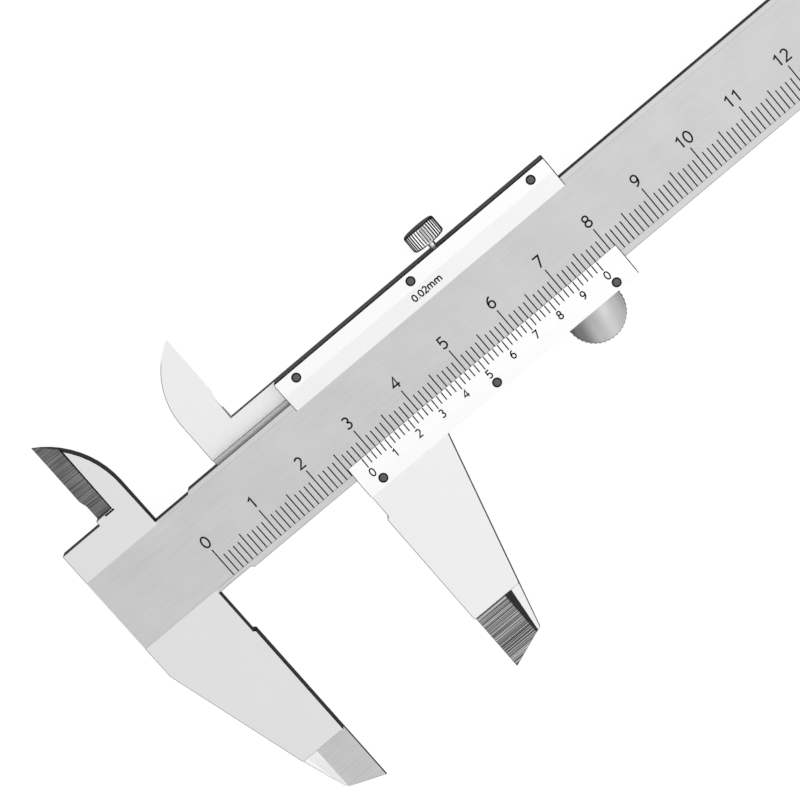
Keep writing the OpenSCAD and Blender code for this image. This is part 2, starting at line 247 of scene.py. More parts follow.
def face_table(mesh):
    """Each face's centre (mm), normal and width (mm: its area over its longest side)."""
    count = len(mesh.polygons)
    centre, normal, area = np.zeros(count * 3), np.zeros(count * 3), np.zeros(count)
    mesh.polygons.foreach_get("center", centre)
    mesh.polygons.foreach_get("normal", normal)
    mesh.polygons.foreach_get("area", area)
    longest = np.array([max((mesh.vertices[a].co - mesh.vertices[b].co).length
                            for a, b in p.edge_keys) for p in mesh.polygons])
    return centre.reshape(-1, 3) / MM, normal.reshape(-1, 3), area / longest / MM


def softened(node, name, finishes, rules, edge, body, cuts=()):
    """A copy of a CAD node's mesh, merged, with a narrow chamfer along its square edges.

    rules(centre, normal, width) gives pairs of a mask of faces and their finish: a later one
    wins, and the other faces get the first finish. cuts are places along X where faces are
    split, so that the two sides can have different finishes.
    """
    mesh = NODES[node].data.copy()
    mesh.name = name
    work = bmesh.new()
    work.from_mesh(mesh)
    bmesh.ops.remove_doubles(work, verts=work.verts, dist=0.0005 * MM)
    bmesh.ops.dissolve_limit(
        work, angle_limit=math.radians(0.3), verts=work.verts, edges=work.edges)
    for x in cuts:
        bmesh.ops.bisect_plane(work, geom=[*work.verts, *work.edges, *work.faces],
                               plane_co=(x * MM, 0, 0), plane_no=(1, 0, 0))
    small = {f for f in work.faces if f.calc_area() < SMALL_FACE
             or f.calc_area() / max(e.calc_length() for e in f.edges) < 3 * edge * MM}
    square = [e for e in work.edges if len(e.link_faces) == 2 and e.is_convex
              and e.calc_face_angle(0) > SQUARE_ANGLE and not small.intersection(e.link_faces)]
    bmesh.ops.bevel(work, geom=square, offset=edge * MM, offset_type="OFFSET", segments=1,
                    profile=0.5, affect="EDGES", clamp_overlap=False)
    for face in work.faces:
        face.smooth = True
    for line in work.edges:
        turn = line.calc_face_angle(math.pi) if len(line.link_faces) == 2 else math.pi
        large = max((f.calc_area() for f in line.link_faces), default=0) > LARGE_FACE
        line.smooth = turn < (math.radians(1) if large else CURVE_STEP)
    work.to_mesh(mesh)
    work.free()
    mesh.materials.clear()
    for finish in finishes:
        mesh.materials.append(finish())
    chosen = np.zeros(len(mesh.polygons), np.int32)
    for mask, finish in rules(*face_table(mesh)):
        chosen[mask] = finishes.index(finish)
    mesh.polygons.foreach_set("material_index", chosen)
    piece = bpy.data.objects.new(name, mesh)
    bpy.context.scene.collection.objects.link(piece)
    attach(piece, body)
    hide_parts(node)
    return piece


def bars(x, y_low, y_high, width, surface, rise):
    """Thin flat bars across a scale: one for each x, from y_low to y_high.

    Each is a closed box whose top follows surface(y), standing rise above it.
    """
    x, y_low, y_high = (np.broadcast_to(v, np.shape(x)).astype(float) for v in (x, y_low, y_high))
    side = np.array([-1, 1, 1, -1]) * width / 2
    along = np.stack([y_low, y_low, y_high, y_high], -1)
    across = x[:, None] + side
    top = surface(along) + rise
    bottom = top - 3 * rise
    points = np.stack([np.concatenate([across, across], 1), np.concatenate([along, along], 1),
                       np.concatenate([bottom, top], 1)], -1).reshape(-1, 3)
    box = np.array([[0, 3, 2, 1], [4, 5, 6, 7], [0, 1, 5, 4], [1, 2, 6, 5], [2, 3, 7, 6],
                    [3, 0, 4, 7]])
    return points, (box[None] + 8 * np.arange(len(x))[:, None, None]).reshape(-1, 4).tolist()


def arc(x, y, across, up, first, last, count=24):
    """Points of an ellipse's arc about (x, y), between two angles in degrees."""
    turn = np.radians(np.linspace(first, last, count))
    return np.stack([x + across * np.cos(turn), y + up * np.sin(turn)], -1)


def run(*points):
    """A path through these points, where each is a pair or an array of pairs."""
    return np.vstack([np.reshape(p, (-1, 2)) for p in points])


SIX = (arc(0.41, 0.3, 0.27, 0.3, 0, 360), arc(0.66, 0.37, 0.52, 0.61, 180, 95))
ARCHES = (run((0.62, 0), arc(0.38, 0.47, 0.24, 0.28, 0, 180)),
          run((1.1, 0), arc(0.86, 0.47, 0.24, 0.28, 0, 180)))
# Middle lines of the strokes, for a letter 1 high: its width and its strokes.
STROKES = {
    "0": (0.8, (arc(0.4, 0.5, 0.3, 0.5, 0, 360, 40),)),
    "1": (0.8, (run((0.18, 0.79), (0.46, 1), (0.46, 0)),)),
    "2": (0.8, (run(arc(0.38, 0.71, 0.26, 0.29, 150, -30), (0.12, 0), (0.7, 0)),)),
    "3": (0.8, (arc(0.37, 0.76, 0.24, 0.24, 140, -90), arc(0.36, 0.26, 0.29, 0.26, 90, -145))),
    "4": (0.8, (run((0.56, 0), (0.56, 1), (0.07, 0.28), (0.76, 0.28)),)),
    "5": (0.8, (run((0.63, 1), (0.2, 1), arc(0.36, 0.31, 0.29, 0.31, 130, -140)),)),
    "6": (0.8, SIX),
    "7": (0.8, (run((0.1, 1), (0.7, 1), (0.28, 0)),)),
    "8": (0.8, (arc(0.4, 0.76, 0.24, 0.24, -90, 270), arc(0.4, 0.26, 0.29, 0.26, 90, 450))),
    "9": (0.8, tuple([0.8, 1.0] - stroke for stroke in SIX)),
    ".": (0.36, (run((0.11, 0.04), (0.25, 0.04)),)),
    "m": (1.3, (run((0.14, 0), (0.14, 0.75)), *ARCHES)),
}


def ribbon(path, width):
    """A flat bar of constant width along a path, 1 high, as (points, faces).

    At each point the two sides stand half a width off along the bisector of the path's two
    directions, divided by the cosine of half the bend. A path that ends where it starts is
    joined to itself.
    """
    loop = np.allclose(path[0], path[-1])
    if loop:
        path = path[:-1]
    step = np.roll(path, -1, 0) - path
    step /= np.linalg.norm(step, axis=1, keepdims=True)
    before = np.roll(step, 1, 0)
    if not loop:
        before[0], step[-1] = step[0], before[-1]
    normal = np.stack([-(step + before)[:, 1], (step + before)[:, 0]], -1)
    normal /= np.linalg.norm(normal, axis=1, keepdims=True)
    half_bend = np.sqrt(np.clip((1 + (step * before).sum(1)) / 2, 0.25, 1))
    off = normal * (width / 2 / half_bend)[:, None]
    sides = np.stack([path + off, path - off, path - off, path + off], 1)
    height = np.broadcast_to(np.array([1.0, 1, 0, 0])[None, :, None], (len(path), 4, 1))
    points = np.concatenate([sides, height], -1).reshape(-1, 3)
    faces = ring_grid(len(path), 4).tolist()
    last = 4 * (len(path) - 1)
    if loop:
        faces += [[i + last, (i + 1) % 4 + last, (i + 1) % 4, i] for i in range(4)]
    else:
        faces += [[3, 2, 1, 0], [last, last + 1, last + 2, last + 3]]
    return points, faces


def lettering(text, height, stroke_width):
    """A short text as (points, faces), centred on X = 0 with its foot on Y = 0."""
    parts, pen = [], 0.0
    tall = height - stroke_width
    for letter in text:
        advance, strokes = STROKES[letter]
        for stroke in strokes:
            parts.append(ribbon((stroke + [pen, 0]) * tall + stroke_width / 2, stroke_width))
        pen += advance
    points, faces = put_together(parts)
    points[:, 0] -= pen * tall / 2 + stroke_width / 2
    return points, faces


def laid(letters, x, y, surface, rise):
    """Letters moved to x, y and laid on surface(y), standing rise above it."""
    points, faces = letters
    placed = points.copy()
    placed[:, 0] += x
    placed[:, 1] += y
    placed[:, 2] = surface(placed[:, 1]) + rise * (3 * points[:, 2] - 2)
    return placed, faces


# ---------- node groups ----------
def new_group(name, inputs, outputs):
    """An empty shader node group with float sockets and its two end nodes."""
    group = bpy.data.node_groups.new(name, "ShaderNodeTree")
    for label, default in inputs:
        socket = group.interface.new_socket(label, in_out="INPUT", socket_type="NodeSocketFloat")
        socket.default_value = default
    for label in outputs:
        group.interface.new_socket(label, in_out="OUTPUT", socket_type="NodeSocketFloat")
    return group, group.nodes.new("NodeGroupInput"), group.nodes.new("NodeGroupOutput")


def math_node(tree, operation, a, b=0.0):
    """A Math node. Each of a and b is a number or an output socket. Gives its output."""
    node = tree.nodes.new("ShaderNodeMath")
    node.operation = operation
    for socket, value in zip(node.inputs, (a, b)):
        if isinstance(value, (int, float)):
            socket.default_value = value
        else:
            tree.links.new(value, socket)
    return node.outputs[0]


def stretched_noise(tree, coordinates, scale, detail=3.0):
    """Noise with its own scale along each axis. scale holds numbers or output sockets."""
    split = tree.nodes.new("ShaderNodeSeparateXYZ")
    tree.links.new(coordinates, split.inputs[0])
    joined = tree.nodes.new("ShaderNodeCombineXYZ")
    for i in range(3):
        tree.links.new(math_node(tree, "MULTIPLY", split.outputs[i], scale[i]), joined.inputs[i])
    noise = tree.nodes.new("ShaderNodeTexNoise")
    noise.inputs["Scale"].default_value = 1.0
    noise.inputs["Detail"].default_value = detail
    noise.inputs["Roughness"].default_value = 0.6
    tree.links.new(joined.outputs[0], noise.inputs["Vector"])
    return noise.outputs["Fac"]


def grain_group():
    """Grinding lines along X: fine streaks, broad streaks and a soft mottle, each about 0.5."""
    found = bpy.data.node_groups.get("grinding_lines")
    if found:
        return found
    group, source, sink = new_group(
        "grinding_lines", [("Along", 60.0), ("Across", 3000.0), ("Deep", 3000.0)],
        ["Fine", "Broad", "Mottle"])
    place = group.nodes.new("ShaderNodeTexCoord").outputs["Object"]
    scale = [source.outputs[label] for label in ("Along", "Across", "Deep")]
    fine = stretched_noise(group, place, scale)
    wide = stretched_noise(group, place, [math_node(group, "MULTIPLY", v, 0.25) for v in scale])
    mottle = stretched_noise(group, place, (140.0, 140.0, 140.0), detail=2.0)
    for value, label in ((fine, "Fine"), (wide, "Broad"), (mottle, "Mottle")):
        group.links.new(value, sink.inputs[label])
    return group


def new_material(name):
    """A material, its tree and its shader."""
    material = bpy.data.materials.new(name)
    material.use_nodes = True
    tree = material.node_tree
    return material, tree, tree.nodes["Principled BSDF"]


def tone(tree, value, low, high, dark, light, tint=(1.0, 1.0, 1.0)):
    """A colour that goes from dark to light as value goes from low to high."""
    ramp = tree.nodes.new("ShaderNodeValToRGB")
    first, last = ramp.color_ramp.elements
    first.position, last.position = low, high
    first.color = (*(dark * t for t in tint), 1)
    last.color = (*(light * t for t in tint), 1)
    tree.links.new(value, ramp.inputs["Fac"])
    return ramp.outputs["Color"]


def ground_metal(name, dark, light, rough, tint=(1, 1, 1), along=60.0, across=3000.0, low=0.3,
                 high=0.7, bump=0.08, weights=(0.5, 0.3, 0.2), metallic=1.0, grazing=1.0,
                 deep=None):
    """Metal with grinding lines along X.

    weights mix the fine lines, broad lines and mottle. grazing is how much it still reflects
    when it is seen edge on.
    """
    found = bpy.data.materials.get(name)
    if found:
        return found
    material, tree, shader = new_material(name)
    lines = tree.nodes.new("ShaderNodeGroup")
    lines.node_tree = grain_group()
    lines.inputs["Along"].default_value = along
    lines.inputs["Across"].default_value = across
    lines.inputs["Deep"].default_value = across if deep is None else deep
    value = math_node(tree, "MULTIPLY", lines.outputs["Fine"], weights[0])
    for label, weight in zip(("Broad", "Mottle"), weights[1:]):
        part = math_node(tree, "MULTIPLY", lines.outputs[label], weight)
        value = math_node(tree, "ADD", value, part)
    tree.links.new(tone(tree, value, low, high, dark, light, tint), shader.inputs["Base Color"])
    spread = math_node(tree, "MULTIPLY", math_node(tree, "SUBTRACT", value, 0.5), 0.25)
    tree.links.new(math_node(tree, "ADD", spread, rough), shader.inputs["Roughness"])
    raised = tree.nodes.new("ShaderNodeBump")
    raised.inputs["Strength"].default_value = bump
    raised.inputs["Distance"].default_value = 0.01 * MM
    tree.links.new(lines.outputs["Fine"], raised.inputs["Height"])
    tree.links.new(raised.outputs["Normal"], shader.inputs["Normal"])
    shader.inputs["Metallic"].default_value = metallic
    shader.inputs["Specular Tint"].default_value = (grazing, grazing, grazing, 1)
    return material


def band_steel():
    return ground_metal("band_steel", 0.56, 0.65, 0.36, weights=(0.45, 0.05, 0.5), along=150.0)


def rail_steel():
    return ground_metal("rail_steel", 0.58, 0.68, 0.36, weights=(0.45, 0.1, 0.45), along=150.0)


def jaw_satin():
    return ground_metal("jaw_satin", 0.76, 0.80, 0.4, along=500.0, across=1500.0,
                        weights=(0.4, 0.1, 0.5), bump=0.03)


def slider_satin():
    return ground_metal("slider_satin", 0.85, 0.89, 0.4, along=500.0, across=1500.0,
                        weights=(0.4, 0.1, 0.5), bump=0.03)


def plate_chrome():
    return ground_metal("plate_chrome", 0.95, 0.98, 0.38, along=500.0, across=1500.0,
                        weights=(0.3, 0.1, 0.6), bump=0.03)


def bevel_chrome():
    return ground_metal("bevel_chrome", 0.87, 0.93, 0.38, along=90.0, across=2500.0,
                        weights=(0.4, 0.1, 0.5), bump=0.03)


def milled_side():
    return ground_metal("milled_side", 0.54, 0.66, 0.16, along=900.0, across=2600.0,
                        weights=(0.6, 0.2, 0.2), grazing=0.8)


# Painted shade: a darker copy of milled_side, for sides turned toward +X and +Y.
def lapped_side():
    return ground_metal("lapped_side", 0.26, 0.34, 0.14, along=900.0, across=2600.0,
                        weights=(0.6, 0.2, 0.2), grazing=0.6)


# Near black: painted shade on the cover plates' sides and on chamfers toward +X, painted shadow in
# the beam's groove and at its blade corner; also the rivets' black rims.
def plate_side():
    return ground_metal("plate_side", 0.02, 0.03, 0.4, along=900.0, across=2600.0, grazing=0.1)


def soft_edge():
    return ground_metal("soft_edge", 0.86, 0.92, 0.3, along=300.0, across=3000.0, bump=0.02)


def streaked_tip():
    return ground_metal("streaked_tip", 0.03, 0.60, 0.34, along=14.0, across=8500.0, low=0.45,
                        high=0.61, weights=(0.9, 0.1, 0.0), bump=0.2)


def plain_tip():
    return ground_metal("plain_tip", 0.50, 0.66, 0.36, along=30.0, across=3200.0,
                        weights=(0.5, 0.1, 0.4), bump=0.1)


# Painted shade: a dark copy of the tip's steel, for the moving jaw's steep facet and the slider's
# chamfers toward +X.
def dark_facet():
    return ground_metal("dark_facet", 0.12, 0.18, 0.35, along=18.0, grazing=0.3)


def light_facet():
    """Painted light: a pale face that doesn't mirror the room and has a little light of its own, a
    glow though it is no lamp.
    """
    material = ground_metal("light_facet", 0.95, 1.0, 0.8, along=90.0, metallic=0.0, bump=0.0)
    shader = material.node_tree.nodes["Principled BSDF"]
    # Painted light: the face glows a little, though it is no lamp.
    shader.inputs["Emission Color"].default_value = (1, 1, 1, 1)
    shader.inputs["Emission Strength"].default_value = 0.12
    return material


def white_bevel():
    return ground_metal("white_bevel", 0.98, 1.0, 0.3, along=90.0, bump=0.0)


def blade_bevel():
    return ground_metal("blade_bevel", 0.13, 0.52, 0.36, along=40.0, across=7500.0, low=0.38,
                        high=0.62, weights=(0.75, 0.1, 0.15), bump=0.15, deep=40.0)


def dark_steel():
    return ground_metal("dark_steel", 0.08, 0.18, 0.45, along=4000.0, across=4000.0,
                        weights=(0.4, 0.2, 0.4), bump=0.2)


def spring_steel():
    return ground_metal("spring_steel", 0.34, 0.46, 0.32, along=80.0, across=5000.0)


def bronze():
    return ground_metal("bronze", 0.62, 0.74, 0.35, tint=(1.0, 0.72, 0.38), along=90.0)


def bright_chrome():
    return ground_metal("bright_chrome", 0.68, 0.80, 0.18, along=900.0, across=900.0,
                        weights=(0.2, 0.2, 0.6), bump=0.02)


# Painted shade: a dark line along each edge of the scale band, where its step is.
def scribed_line():
    return ground_metal("scribed_line", 0.34, 0.42, 0.4, bump=0.0)


def black_fill():
    material = ground_metal("black_fill", 0.010, 0.016, 0.6, along=900.0, across=900.0,
                            metallic=0.0, bump=0.0)
    material.node_tree.nodes["Principled BSDF"].inputs["Specular IOR Level"].default_value = 0.1
    return material


def from_axis(tree, middle, sizes):
    """Object coordinates in millimetres from a point, each axis times its size."""
    mapping = tree.nodes.new("ShaderNodeMapping")
    mapping.vector_type = "POINT"
    mapping.inputs["Location"].default_value = [-m * s for m, s in zip(middle, sizes)]
    mapping.inputs["Scale"].default_value = [s / MM for s in sizes]
    place = tree.nodes.new("ShaderNodeTexCoord").outputs["Object"]
    tree.links.new(place, mapping.inputs["Vector"])
    return mapping.outputs["Vector"]


def length_of(tree, vector):
    """Length of a vector."""
    node = tree.nodes.new("ShaderNodeVectorMath")
    node.operation = "LENGTH"
    tree.links.new(vector, node.inputs[0])
    return node.outputs["Value"]


def knurled_chrome():
    """Bright chrome with painted shade: black at the bottom of each groove and darker toward its
    two sides.
    """
    material, tree, shader = new_material("knurled_chrome")
    low, high = box_mm("lock_screw")
    place = from_axis(tree, (low + high) / 2, (1, 0, 1))
    out = length_of(tree, place)
    radius = (high[0] - low[0]) / 2
    split = tree.nodes.new("ShaderNodeSeparateXYZ")
    tree.links.new(place, split.inputs[0])
    # Painted shade: the head darkens toward its two sides, and the bottom of each groove is black.
    aside = math_node(tree, "DIVIDE", split.outputs[0], radius)
    side_shade = math_node(tree, "MULTIPLY", math_node(tree, "MULTIPLY", aside, aside), 0.7)
    depth = bpy.context.scene.caliper_knurls.screw_tooth
    level = math_node(tree, "DIVIDE", math_node(tree, "SUBTRACT", out, radius - depth), depth)
    level = math_node(tree, "SUBTRACT", math_node(tree, "ADD", level, 0.2), side_shade)
    tree.links.new(tone(tree, level, 0.38, 0.55, 0.01, 0.98), shader.inputs["Base Color"])
    shader.inputs["Metallic"].default_value = 1.0
    shader.inputs["Roughness"].default_value = 0.1
    return material


def turned_chrome():
    """Chrome turned on a lathe: fine rings, and a painted sheen from dark to light and partly
    back.
    """
    material, tree, shader = new_material("turned_chrome")
    low, high = box_mm("thumb_roller")
    place = from_axis(tree, (low + high) / 2, (1, 1, 0))
    split = tree.nodes.new("ShaderNodeSeparateXYZ")
    tree.links.new(place, split.inputs[0])
    across = math_node(tree, "SUBTRACT", split.outputs[0],
                       math_node(tree, "MULTIPLY", split.outputs[1], 0.15))
    sheen_width = 10.6
    share = math_node(tree, "ADD", math_node(tree, "DIVIDE", across, sheen_width), 0.5)
    # Painted sheen: the base colour runs from dark to light across the roller and turns with it.
    ramp = tree.nodes.new("ShaderNodeValToRGB")
    ramp.color_ramp.interpolation = "EASE"
    stops = ((0.0, 0.07), (0.15, 0.16), (0.4, 0.45), (0.62, 0.6), (0.82, 0.5), (1.0, 0.36))
    elements = ramp.color_ramp.elements
    elements[0].position, elements[1].position = stops[0][0], stops[-1][0]
    for position, _ in stops[1:-1]:
        elements.new(position)
    for element, (_, value) in zip(elements, stops):
        element.color = (value, value, value * 1.01, 1)
    tree.links.new(share, ramp.inputs["Fac"])
    tree.links.new(ramp.outputs["Color"], shader.inputs["Base Color"])
    rings = tree.nodes.new("ShaderNodeTexNoise")
    rings.noise_dimensions = "1D"
    rings.inputs["Scale"].default_value = 9.0
    tree.links.new(length_of(tree, place), rings.inputs["W"])
    raised = tree.nodes.new("ShaderNodeBump")
    raised.inputs["Strength"].default_value = 0.06
    raised.inputs["Distance"].default_value = 0.01 * MM
    tree.links.new(rings.outputs["Fac"], raised.inputs["Height"])
    tree.links.new(raised.outputs["Normal"], shader.inputs["Normal"])
    shader.inputs["Metallic"].default_value = 1.0
    shader.inputs["Roughness"].default_value = 0.28
    return material


# ---------- which face gets which finish ----------
def chamfers(normal, width):
    """Faces that are narrow and slanted."""
    return (width < 0.3) & (abs(normal).max(1) < 0.97)


def tip_rules(centre, normal, width, flat, steep, shallow):
    """Rules for the three ground faces of a jaw tip: flat, steep facet, outer facet."""
    low = (centre[:, 1] < TIP_TOP) & (centre[:, 2] < BEAM_FACE - 0.02)
    low &= ~chamfers(normal, width)
    up = normal[:, 2]
    return [(low & (up > LEVEL), flat), (low & (up > 0.6) & (up < 0.85), steep),
            (low & (up >= 0.85) & (up < LEVEL), shallow)]


def beam_rules(centre, normal, width):
    """Satin jaws, a brushed band between two rails, ground tips, a bevel and milled sides.

    Sides toward +X and +Y are painted darker, as shade. The bevel beyond its corner, the groove
    above the beam and the chamfers toward +X are painted dark, as shadow and shade. The tips'
    facets are painted pale and glowing, as lit.
    """
    up = normal[:, 2]
    band_z = BEAM_FACE - bpy.context.scene.caliper_scale.band_depth
    band = (up > LEVEL) & (abs(centre[:, 2] - band_z) < 0.02)
    rail = (up > LEVEL) & (centre[:, 2] > BEAM_FACE - 0.02) & (centre[:, 0] > 5)
    blade = (up > 0.75) & (up < 0.97) & (centre[:, 1] > BEAM_TOP + 5)
    groove = (up > LEVEL) & (centre[:, 2] < BEAM_FACE - 0.3) & (centre[:, 1] > BEAM_TOP)
    edge = chamfers(normal, width)
    # Sides toward +X and +Y, which are painted darker as shade.
    shade_side_mask = (abs(up) < UPRIGHT) & (normal[:, :2].max(1) > 0.3)
    return [(abs(up) < UPRIGHT, milled_side), (up < -0.9, rail_steel), (band, band_steel),
            (rail, rail_steel), (shade_side_mask, lapped_side), (edge, soft_edge),
            # Chamfers toward +X, the blade's corner and the groove are painted black, as shade and
            # shadow; the tip facets are painted pale and glowing, as lit.
            (edge & (normal[:, 0] > 0.3), plate_side), (blade, blade_bevel),
            (blade & (centre[:, 0] > BLADE_CORNER) | groove, plate_side),
            *tip_rules(centre, normal, width, plain_tip, light_facet, light_facet)]


def slider_rules(centre, normal, width):
    """Satin faces, milled sides and a streaked tip, with painted light and shade: a pale, glowing
    side on the inside jaw, dark chamfers toward +X, a dark steep facet and a pale, glowing outer
    facet on the tip.
    """
    side = abs(normal[:, 2]) < UPRIGHT
    blade_edge = (normal[:, 0] > 0.5) & (centre[:, 1] > UPPER_HIGH[1])
    edge = chamfers(normal, width)
    # Painted shade on chamfers toward +X and on the tip's steep facet; painted light on the inside
    # jaw's side and on the tip's outer facet.
    return [(side, milled_side), (edge, soft_edge), (edge & (normal[:, 0] > 0.3), dark_facet),
            (side & blade_edge, light_facet),
            *tip_rules(centre, normal, width, streaked_tip, dark_facet, light_facet)]


def plate_rules(bevel):
    """Rules for a cover plate: its bevel, and sides and chamfers painted dark as shade, those
    toward -Y painted pale and glowing as lit.
    """
    def rules(centre, normal, width):
        up = normal[:, 2]
        # Sides and chamfers painted black as shade, those toward -Y painted pale and glowing as
        # lit.
        return [((up > 0.9) & (up < 0.999), bevel), (abs(up) < 0.8, plate_side),
                ((abs(up) < 0.8) & (normal[:, 1] < -0.5), light_facet)]

    return rules


def block_rules(centre, normal, width):
    """Milled sides and soft chamfers."""
    return [(abs(normal[:, 2]) < UPRIGHT, milled_side), *edge_rules(centre, normal, width)]


def edge_rules(centre, normal, width):
    """Soft chamfers."""
    return [(chamfers(normal, width), soft_edge)]


# ---------- operators ----------
class CALIPER_OT_beam(bpy.types.Operator):
    """Beam with its fixed jaws, and the end stop on its back."""

    bl_idname = "caliper.beam"
    bl_label = "Beam"

    def execute(self, context):
        edge = context.scene.caliper_knurls.edge_width
        finishes = [jaw_satin, band_steel, plain_tip, light_facet, milled_side, blade_bevel,
                    soft_edge, rail_steel, plate_side, lapped_side]
        softened("beam", "beam_steel", finishes, beam_rules, edge, "beam_body",
                 cuts=(BLADE_CORNER, HEAD_EDGE))
        softened("end_stop_plate", "end_stop_steel", [jaw_satin, milled_side, soft_edge],
                 block_rules, edge, "beam_body")
        softened("end_stop_screws", "end_stop_screw_heads", [dark_steel, soft_edge], edge_rules,
                 SCREW_EDGE, "beam_body")
        return {"FINISHED"}


class CALIPER_OT_slider(bpy.types.Operator):
    """Slider frame with its moving jaws, and the two cover plates."""

    bl_idname = "caliper.slider"
    bl_label = "Slider"

    def execute(self, context):
        edge = context.scene.caliper_knurls.edge_width
        finishes = [slider_satin, streaked_tip, dark_facet, milled_side, soft_edge, light_facet]
        softened("slider_frame", "slider_steel", finishes, slider_rules, edge, "slider_body")
        for plate, bevel in (("upper_plate", bevel_chrome), ("vernier_plate", white_bevel)):
            finishes = [plate_chrome, bevel, plate_side, light_facet]
            softened(plate, plate + "_chrome", finishes, plate_rules(bevel), edge,
                     "slider_body")
        return {"FINISHED"}


class CALIPER_OT_rivets(bpy.types.Operator):
    """Rivets of the cover plates: flat heads in a black ring."""

    bl_idname = "caliper.rivets"
    bl_label = "Rivets"

    def execute(self, context):
        columns = 48
        for node in ("upper_plate_rivets", "vernier_plate_rivets"):
            low, high = box_mm(node)
            r = (high[1] - low[1]) / 2
            top = high[2]
            profile = [(low[2], 0), (low[2], r - 0.08), (low[2] + 0.08, r), (top - 0.03, r),
                       (top, r - 0.03), (top, r - 0.1), (top - 0.06, r - 0.15),
                       (top - 0.02, r - 0.2), (top, r - 0.24), (top, 0.2), (top, 0)]
            points, faces = turned(profile, columns)
            middle = (low + high) / 2
            parts = [(points + [low[0] + r + x, middle[1], 0], faces) for x in RIVET_STEPS]
            bands = row_materials([0, 0, 0, 1, 1, 1, 1, 1, 0, 0], columns)
            piece = mesh_piece(node.replace("rivets", "rivet_heads"), *put_together(parts),
                               [dark_steel(), plate_side()], "slider_body", np.tile(bands, 3))
            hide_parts(node)
        return {"FINISHED"}


class CALIPER_OT_main_scale(bpy.types.Operator):
    """Millimetre scale on the beam, with a digit at each centimetre."""

    bl_idname = "caliper.main_scale"
    bl_label = "Main scale"

    def execute(self, context):
        s = context.scene.caliper_scale
        foot = BEAM_TOP - s.beam_width

        def surface(y):
            return np.full(np.shape(y), BEAM_FACE - s.band_depth)

        number = np.arange(s.length + 1)
        one, five, ten = TICK_ENDS
        reach = np.where(number % 10 == 0, ten, np.where(number % 5 == 0, five, one))
        ticks = bars(s.zero_offset + number, foot + s.band_low, foot + reach, s.line_width,
                     surface, s.fill_height)
        piece = mesh_piece("main_scale_lines", *ticks, [black_fill()], "beam_body")
        # Dark lines painted along the band's two edges, as the shade of its step.
        ends = ((0.0, foot + s.band_low), (0.0, foot + s.beam_width - BAND_MARGIN))
        edges = [laid(ribbon(run(end, (BEAM_HIGH[0] - 0.3, end[1])), BAND_LINE), 0, 0, surface,
                      s.fill_height) for end in ends]
        piece = mesh_piece("band_edges", *put_together(edges), [scribed_line()], "beam_body")
        digits = [laid(lettering(str(c), s.digit_height, s.stroke),
                       s.zero_offset + 10 * c, foot + DIGIT_FOOT, surface, s.fill_height)
                  for c in range(s.length // 10 + 1)]
        piece = mesh_piece("main_scale_digits", *put_together(digits), [black_fill()],
                           "beam_body")
        return {"FINISHED"}


class CALIPER_OT_vernier_scale(bpy.types.Operator):
    """Vernier lines and digits on the lower plate's bevel, and the resolution mark above."""

    bl_idname = "caliper.vernier_scale"
    bl_label = "Vernier scale"

    def execute(self, context):
        s = context.scene.caliper_scale
        foot = BEAM_TOP - s.beam_width
        zero = JAW_OPENING + s.zero_offset
        bevel_end = foot - 1.15
        edge_z = VERNIER_LOW[2] + 0.1
        slope = (VERNIER_HIGH[2] - edge_z) / (VERNIER_HIGH[1] - bevel_end)
        upper_edge = UPPER_LOW[2] + 0.08
        upper_slope = (UPPER_HIGH[2] - upper_edge) / (foot + 18 - UPPER_LOW[1])

        def lower(y):
            return edge_z + (VERNIER_HIGH[1] - y) * slope

        def upper(y):
            return upper_edge + (y - UPPER_LOW[1]) * upper_slope

        number = np.arange(s.vernier_count + 1)
        one, five = VERNIER_TICK_ENDS
        end = foot + np.where(number % 5 == 0, five, one)
        ticks = bars(zero + s.vernier_pitch * number, end, VERNIER_HIGH[1] - 0.06, s.line_width,
                     lower, s.fill_height)
        piece = mesh_piece("vernier_lines", *ticks, [black_fill()], "slider_body")
        digits = [laid(lettering(str(i % 10), s.vernier_digit_height, 0.8 * s.stroke),
                       zero + 5 * s.vernier_pitch * i, foot - 1.1, lower, s.fill_height)
                  for i in range(s.vernier_count // 5 + 1)]
        piece = mesh_piece("vernier_digits", *put_together(digits), [black_fill()],
                           "slider_body")
        mark = laid(lettering("0.02mm", 1.36, 0.85 * s.stroke), zero + 25.85, foot + 16, upper,
                    s.fill_height)
        piece = mesh_piece("resolution_mark", *mark, [black_fill()], "slider_body")
        return {"FINISHED"}


